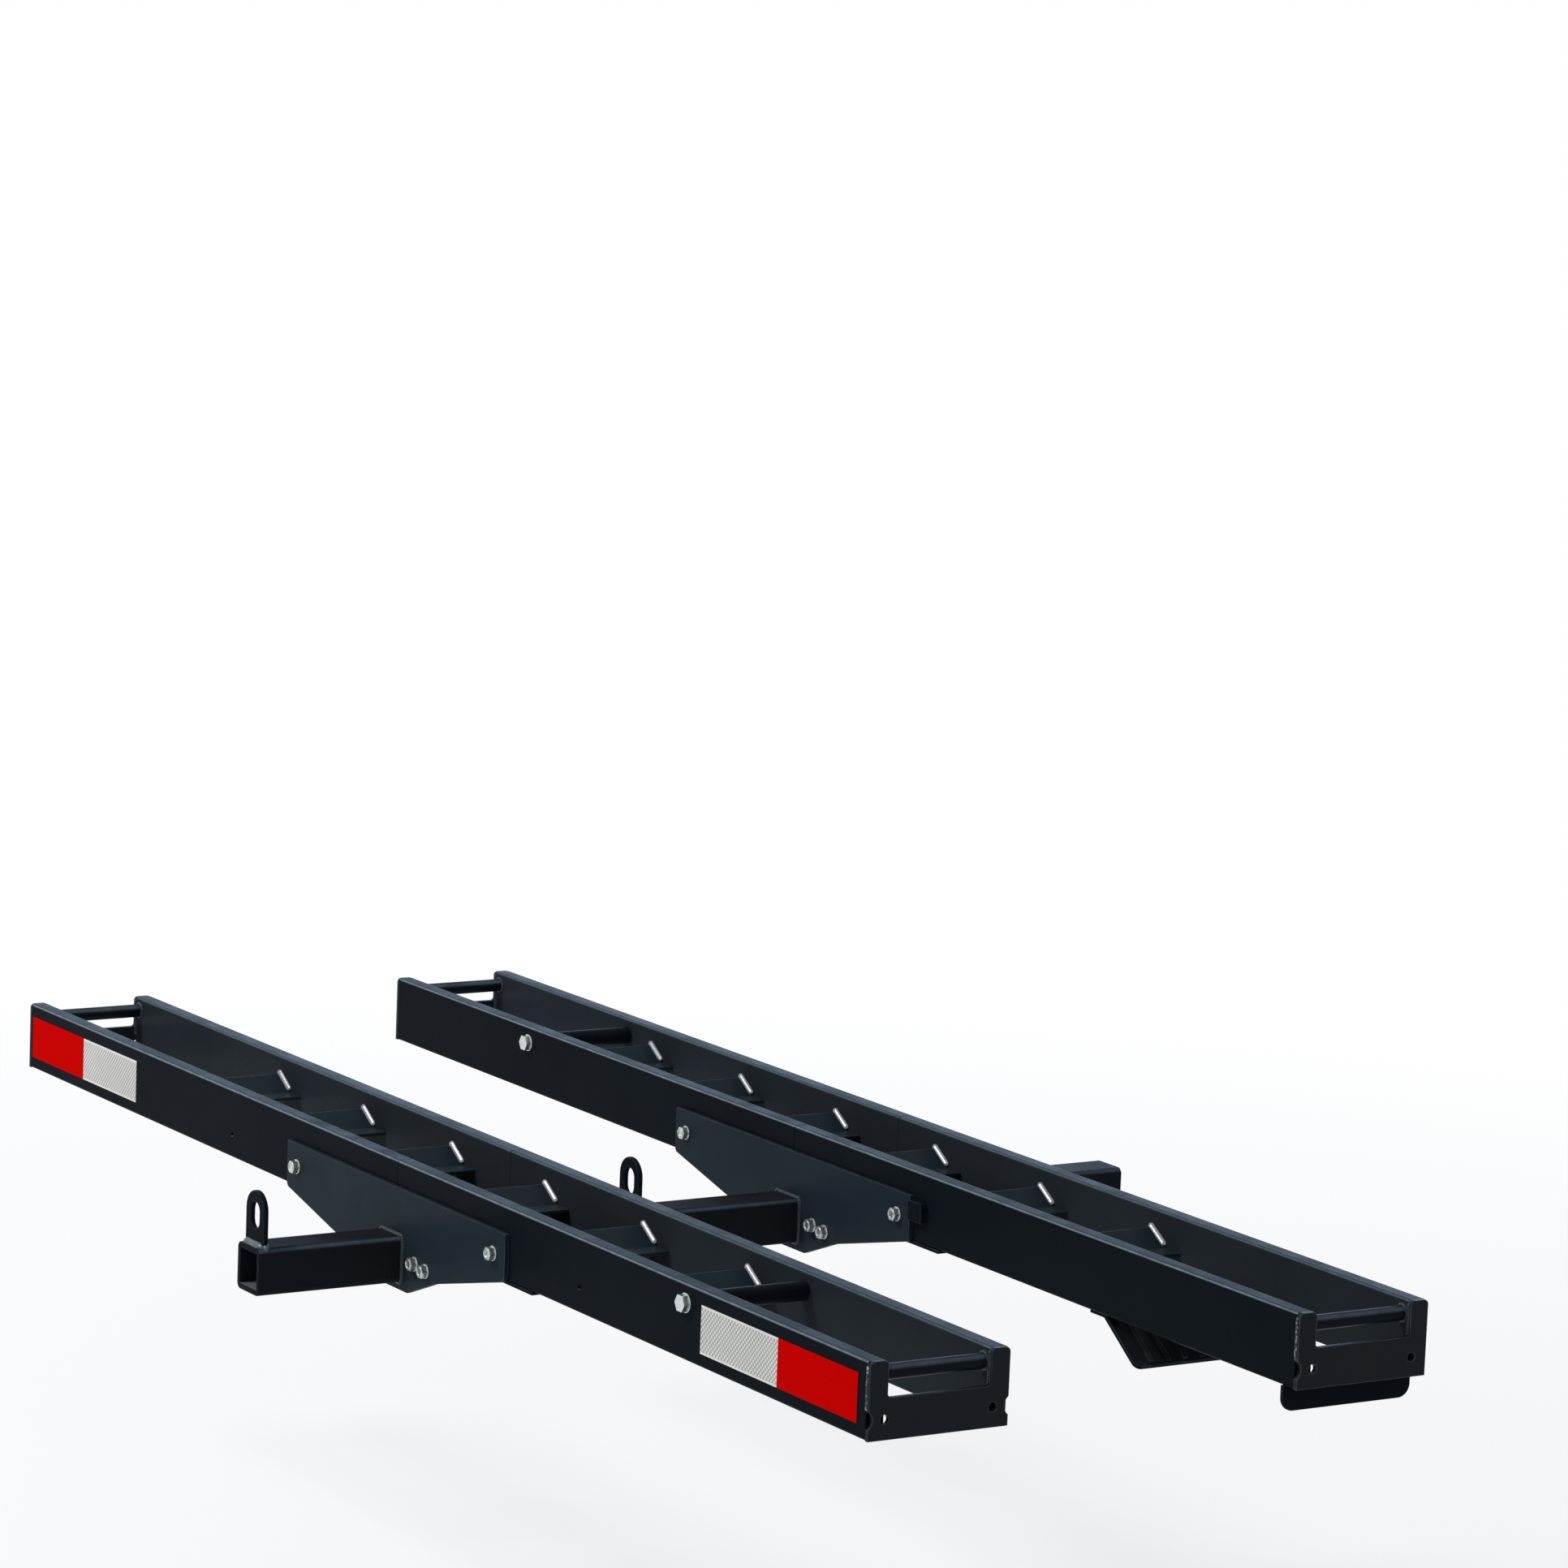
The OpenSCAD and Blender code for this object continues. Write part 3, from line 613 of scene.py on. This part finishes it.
def dress_nodes(nodes, finishes):
    """Gives each node its finish and its edge rounding."""
    for name, obj in nodes.items():
        slot = obj.data.materials[0].name.split(".")[0]
        kind = next((finish for ending, finish in FINISH_OF if name.endswith(ending)), slot)
        obj.data.materials[0] = finishes[kind]
        plain_width = ZINC_EDGE if slot == "zinc" else None
        width = next((size for ending, size in EDGE_OF if name.endswith(ending)), plain_width)
        if width:
            soften_edges(obj, width)


def bead_points(path, closed):
    """Points along a path at even steps."""
    corners = list(path) + ([path[0]] if closed else [])
    points = []
    for start, end in zip(corners, corners[1:]):
        count = max(1, round((end - start).length / BEAD_STEP))
        points += [start.lerp(end, i / count) for i in range(count)]
    return points if closed else points + [corners[-1]]


def join_rings(mesh, rings, closed):
    """Skin over the rings of a bead, with a cap on each end of an open one."""
    pairs = list(zip(rings, rings[1:])) + ([(rings[-1], rings[0])] if closed else [])
    for ring, following in pairs:
        for j in range(BEAD_SIDES):
            k = (j + 1) % BEAD_SIDES
            mesh.faces.new((ring[j], ring[k], following[k], following[j]))
    if not closed:
        mesh.faces.new(list(reversed(rings[0])))
        mesh.faces.new(rings[-1])


def bead_directions(points, i, out, closed):
    """Sideways and outward directions of a bead at one of its points."""
    ahead = points[(i + 1) % len(points)] if closed or i + 1 < len(points) else points[i]
    behind = points[i - 1] if closed or i > 0 else points[i]
    along = (ahead - behind).normalized()
    side = along.cross(out).normalized()
    return side, side.cross(along)


def add_bead(mesh, path, out, radius, face, ripple, closed=False):
    """Rippled weld bead along a path. Out points away from the joint that the bead fills.

    Face is how far the bead's outer side bulges, as a share of its radius.
    Ripple is how deep the bead's ripples are, as a share of its radius.
    """
    points = bead_points(path, closed)
    rings = []
    for i, point in enumerate(points):
        side, outward = bead_directions(points, i, out, closed)
        travelled = i * BEAD_STEP
        from_end = min(i, len(points) - 1 - i) * BEAD_STEP / radius
        taper = 1.0 if closed else math.sqrt(min(1.0, BEAD_TIP + from_end))
        drift = DRIFT * ripple * math.sin(DRIFT_RATE * travelled / radius)
        ring = []
        for j in range(BEAD_SIDES):
            angle = 2 * math.pi * j / BEAD_SIDES
            lead = RIPPLE_LEAD * radius * (1 - math.cos(angle))
            wave = abs(math.sin(math.pi * (travelled + lead) / RIPPLE_LENGTH))
            reach = radius * taper * (1 - ripple / 2 + ripple * wave + drift)
            bulge = math.cos(angle) * (face if math.cos(angle) > 0 else 1.0)
            ring.append(mesh.verts.new(point + reach * (bulge * outward + math.sin(angle) * side)))
        rings.append(ring)
    join_rings(mesh, rings, closed)


def finish_beads(name, mesh, material):
    """Turns a set of beads into one smooth piece on the carrier."""
    bmesh.ops.recalc_face_normals(mesh, faces=mesh.faces)
    piece = add_mesh(name, mesh, material)
    for face in piece.data.polygons:
        face.use_smooth = True
    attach(piece, CARRIER)


def rung_welds(material):
    """Beads where the rungs' slopes meet the inner faces of the rails."""
    mesh = bmesh.new()
    slope = Vector((RUNG_RUN, 0, -RUNG_RISE)).normalized()
    upward = Vector((RUNG_RISE, 0, RUNG_RUN)).normalized()
    for track in TRACKS:
        for side, _ in SIDES:
            low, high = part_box(f"{track}_track_{side}_rungs")
            pitch = (high.x - low.x - RUNG_RUN - RUNG_LEDGE) / (RUNGS_PER_HALF - 1)
            for i in range(RUNGS_PER_HALF):
                for y, inward in ((low.y, 1), (high.y, -1)):
                    out = (upward + Vector((0, inward, 0))).normalized()
                    ridge = Vector((low.x + i * pitch, y, high.z))
                    start = ridge - RUNG_BEAD_BEFORE_RIDGE * slope + RUNG_BEAD_LIFT * out
                    add_bead(mesh, (start, start + RUNG_BEAD_LENGTH * slope), out, **RUNG_BEAD)
    finish_beads("rung_welds", mesh, material)


def tube_welds(material):
    """Beads round the hitch tube where it passes through the gussets."""
    mesh = bmesh.new()
    low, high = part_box("hitch_tube")
    corners = [(low.x, low.z), (low.x, high.z), (high.x, high.z), (high.x, low.z)]
    for track in TRACKS:
        for wall, outward in WALLS:
            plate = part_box(f"{track}_track_{wall}_gusset")
            y = plate[0].y if outward < 0 else plate[1].y
            path = [Vector((x, y, z)) for x, z in corners]
            for start, end in zip(path, path[1:] + path[:1]):
                middle = (start + end) / 2
                away = Vector((middle.x, 0, middle.z)).normalized() + Vector((0, outward, 0))
                add_bead(mesh, (start, end), away.normalized(), **TUBE_BEAD)
    finish_beads("tube_welds", mesh, material)


def tie_down_welds(material):
    """Beads along the foot of each tie-down plate."""
    mesh = bmesh.new()
    ways = [Vector((0, -1, 1)), Vector((1, 0, 1)), Vector((0, 1, 1)), Vector((-1, 0, 1))]
    for place in TIE_DOWNS:
        low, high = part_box(f"{place}_tie_down_plate")
        corners = [(low.x, low.y), (high.x, low.y), (high.x, high.y), (low.x, high.y)]
        for start, end, way in zip(corners, corners[1:] + corners[:1], ways):
            ends = (Vector((*start, low.z)), Vector((*end, low.z)))
            add_bead(mesh, ends, way.normalized(), **TIE_DOWN_BEAD)
    finish_beads("tie_down_welds", mesh, material)


def end_plate_faces(track, side, sign):
    """X of an end plate's face that looks into the track, and Z of the plate's foot and top."""
    low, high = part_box(f"{track}_track_{side}_end_plate")
    return low.x if sign > 0 else high.x, low.z, high.z


def rail_boxes(track):
    """Boxes of the back and front rails in a track's left half, in line with those in its right half."""
    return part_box(f"{track}_track_left_back_rail"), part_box(f"{track}_track_left_front_rail")


def end_edge_welds(side, sign, material):
    """Beads up the outer edges of one side's end plates, above any relief cut."""
    mesh = bmesh.new()
    for track in TRACKS:
        back, front = rail_boxes(track)
        inner_x, foot, top = end_plate_faces(track, side, sign)
        x = inner_x + sign * END_EDGE_OVER_PLATE
        for wall_y, outward in ((back[0].y, -1), (front[1].y, 1)):
            y = wall_y - outward * END_EDGE_INSET
            rise = RELIEF_TOP if (track, side, outward) in RELIEF_EDGES else END_EDGE_MARGIN
            ends = (Vector((x, y, foot + rise)), Vector((x, y, top - END_EDGE_MARGIN)))
            out = Vector((sign * END_EDGE_LEAN, outward, 0)).normalized()
            add_bead(mesh, ends, out, **END_EDGE_BEAD)
    finish_beads(f"{side}_end_edge_welds", mesh, material)


def end_corner_welds(material):
    """Beads up the inner corners between the end plates and the rails, above the plates' holes."""
    mesh = bmesh.new()
    for track in TRACKS:
        back, front = rail_boxes(track)
        for side, sign in SIDES:
            x, foot, top = end_plate_faces(track, side, sign)
            for y, inward in ((back[1].y, 1), (front[0].y, -1)):
                ends = (Vector((x, y, foot + END_CORNER_START)), Vector((x, y, top - END_CORNER_MARGIN)))
                add_bead(mesh, ends, Vector((-sign, inward, 0)).normalized(), **END_CORNER_BEAD)
    finish_beads("end_corner_welds", mesh, material)


def wheel_bar_welds(material):
    """Ring beads where the wheel bars meet the rails."""
    mesh = bmesh.new()
    turns = [2 * math.pi * i / BAR_BEAD_POINTS for i in range(BAR_BEAD_POINTS)]
    for track in TRACKS:
        for side, _ in SIDES:
            low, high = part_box(f"{track}_track_{side}_wheel_bar")
            centre = (low + high) / 2
            radius = (high.z - low.z) / 2
            ring = [radius * Vector((math.cos(turn), 0, math.sin(turn))) for turn in turns]
            for y, inward in ((low.y, 1), (high.y, -1)):
                path = [Vector((centre.x, y, centre.z)) + point for point in ring]
                add_bead(mesh, path, Vector((0, inward, 0)), **BAR_BEAD, closed=True)
    finish_beads("wheel_bar_welds", mesh, material)


def add_welds():
    """All weld beads: painted highlights at the rungs, a pale painted sheen at the tie-downs, pale painted
    glints on the right ends, else dark.
    """
    dark = weld_coat("weld_coat", WELD_DARK, WELD_LIGHT, WELD_IOR)
    pale = weld_coat("weld_painted_sheen", WELD_SHEEN_DARK, WELD_SHEEN_LIGHT, PALE_WELD_IOR)
    spotted = weld_coat("weld_painted_glints", SPOT_WELD_DARK, WELD_GLINT_LIGHT, SPOT_WELD_IOR,
                        mottle=WELD_GLINT_SPOTS)
    bright = weld_coat("rung_weld_painted_highlight", RUNG_WELD_HIGHLIGHT_DARK, RUNG_WELD_HIGHLIGHT_LIGHT, BRIGHT_WELD_IOR,
                       grain=BRIGHT_WELD_BUMP)
    rung_welds(bright)
    tube_welds(dark)
    tie_down_welds(pale)
    for (side, sign), material in zip(SIDES, (dark, spotted)):
        end_edge_welds(side, sign, material)
    end_corner_welds(dark)
    wheel_bar_welds(dark)


def white_for_sight(tree):
    """1 for rays that look at the background: straight, mirrored or through glass."""
    path = add_node(tree, "ShaderNodeLightPath")
    seen = math_node(tree, "MAXIMUM", path.outputs["Is Camera Ray"], path.outputs["Is Glossy Ray"])
    return math_node(tree, "MAXIMUM", seen, path.outputs["Is Transmission Ray"])


def add_world():
    """Cool even sky light on the object, and white where the background is seen."""
    world = bpy.data.worlds.new("studio")
    bpy.context.scene.world = world
    world.use_nodes = True
    tree = world.node_tree
    sky = tree.nodes["Background"]
    feed(tree, sky, "Color", SKY)
    feed(tree, sky, "Strength", SKY_STRENGTH)
    seen = add_node(tree, "ShaderNodeBackground")
    feed(tree, seen, "Color", WHITE)
    feed(tree, seen, "Strength", 1.0)
    lights = sky.outputs["Background"], seen.outputs["Background"]
    surface = mix_shader(tree, white_for_sight(tree), *lights)
    tree.links.new(surface, tree.nodes["World Output"].inputs["Surface"])


def add_area(name, place, size, watts, colour):
    """Soft rectangular lamp that looks at the lit point."""
    data = bpy.data.lights.new(name, "AREA")
    data.shape = "RECTANGLE"
    data.size, data.size_y = size
    data.energy = watts
    data.color = colour
    lamp = add_object(name, data)
    aim = (LIT_POINT - place).to_track_quat("-Z", "Y")
    lamp.matrix_world = Matrix.Translation(place) @ aim.to_matrix().to_4x4()


def add_lights():
    """Key lamp high on the camera's left, and a wide cool panel beyond the object."""
    key_at = LIT_POINT + KEY_DISTANCE * KEY_WAY.normalized()
    add_area("key", key_at, KEY_SIZE, KEY_WATTS, KEY_COLOUR)
    panel_at = LIT_POINT + PANEL_DISTANCE * PANEL_WAY.normalized() + PANEL_RISE
    add_area("panel", panel_at, PANEL_SIZE, PANEL_WATTS, PANEL_COLOUR)


def floor_paint():
    """Pale paint that turns clear towards the floor's rim, so that the floor fades into the background."""
    material, tree, shader, place = new_material("floor")
    tree.nodes.remove(shader)
    paint = add_node(tree, "ShaderNodeBsdfDiffuse")
    feed(tree, paint, "Color", FLOOR_TONE)
    glow = add_node(tree, "ShaderNodeEmission")
    feed(tree, glow, "Color", WHITE)
    glow_share = math_node(tree, "MULTIPLY", white_for_sight(tree), FLOOR_GLOW)
    pale = mix_shader(tree, glow_share, paint.outputs["BSDF"], glow.outputs["Emission"])
    clear = add_node(tree, "ShaderNodeBsdfTransparent")
    reach = add_node(tree, "ShaderNodeVectorMath", operation="LENGTH")
    tree.links.new(place, reach.inputs[0])
    span = [FLOOR_RADIUS * share for share in FLOOR_FADE]
    faded = mix_shader(tree, map_range(tree, reach.outputs["Value"], span), pale, clear.outputs["BSDF"])
    tree.links.new(faded, tree.nodes["Material Output"].inputs["Surface"])
    return material


def add_floor():
    """Pale round floor under the carrier."""
    mesh = bmesh.new()
    bmesh.ops.create_circle(mesh, cap_ends=True, segments=FLOOR_CORNERS, radius=FLOOR_RADIUS)
    floor = add_mesh("floor", mesh, floor_paint())
    floor.location = FLOOR_CENTRE


clear_scene()
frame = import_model()
bpy.context.scene.view_settings.view_transform = "Standard"
add_camera()
add_world()
add_lights()
add_floor()
dress_nodes(frame["nodes"], make_finishes())
add_welds()
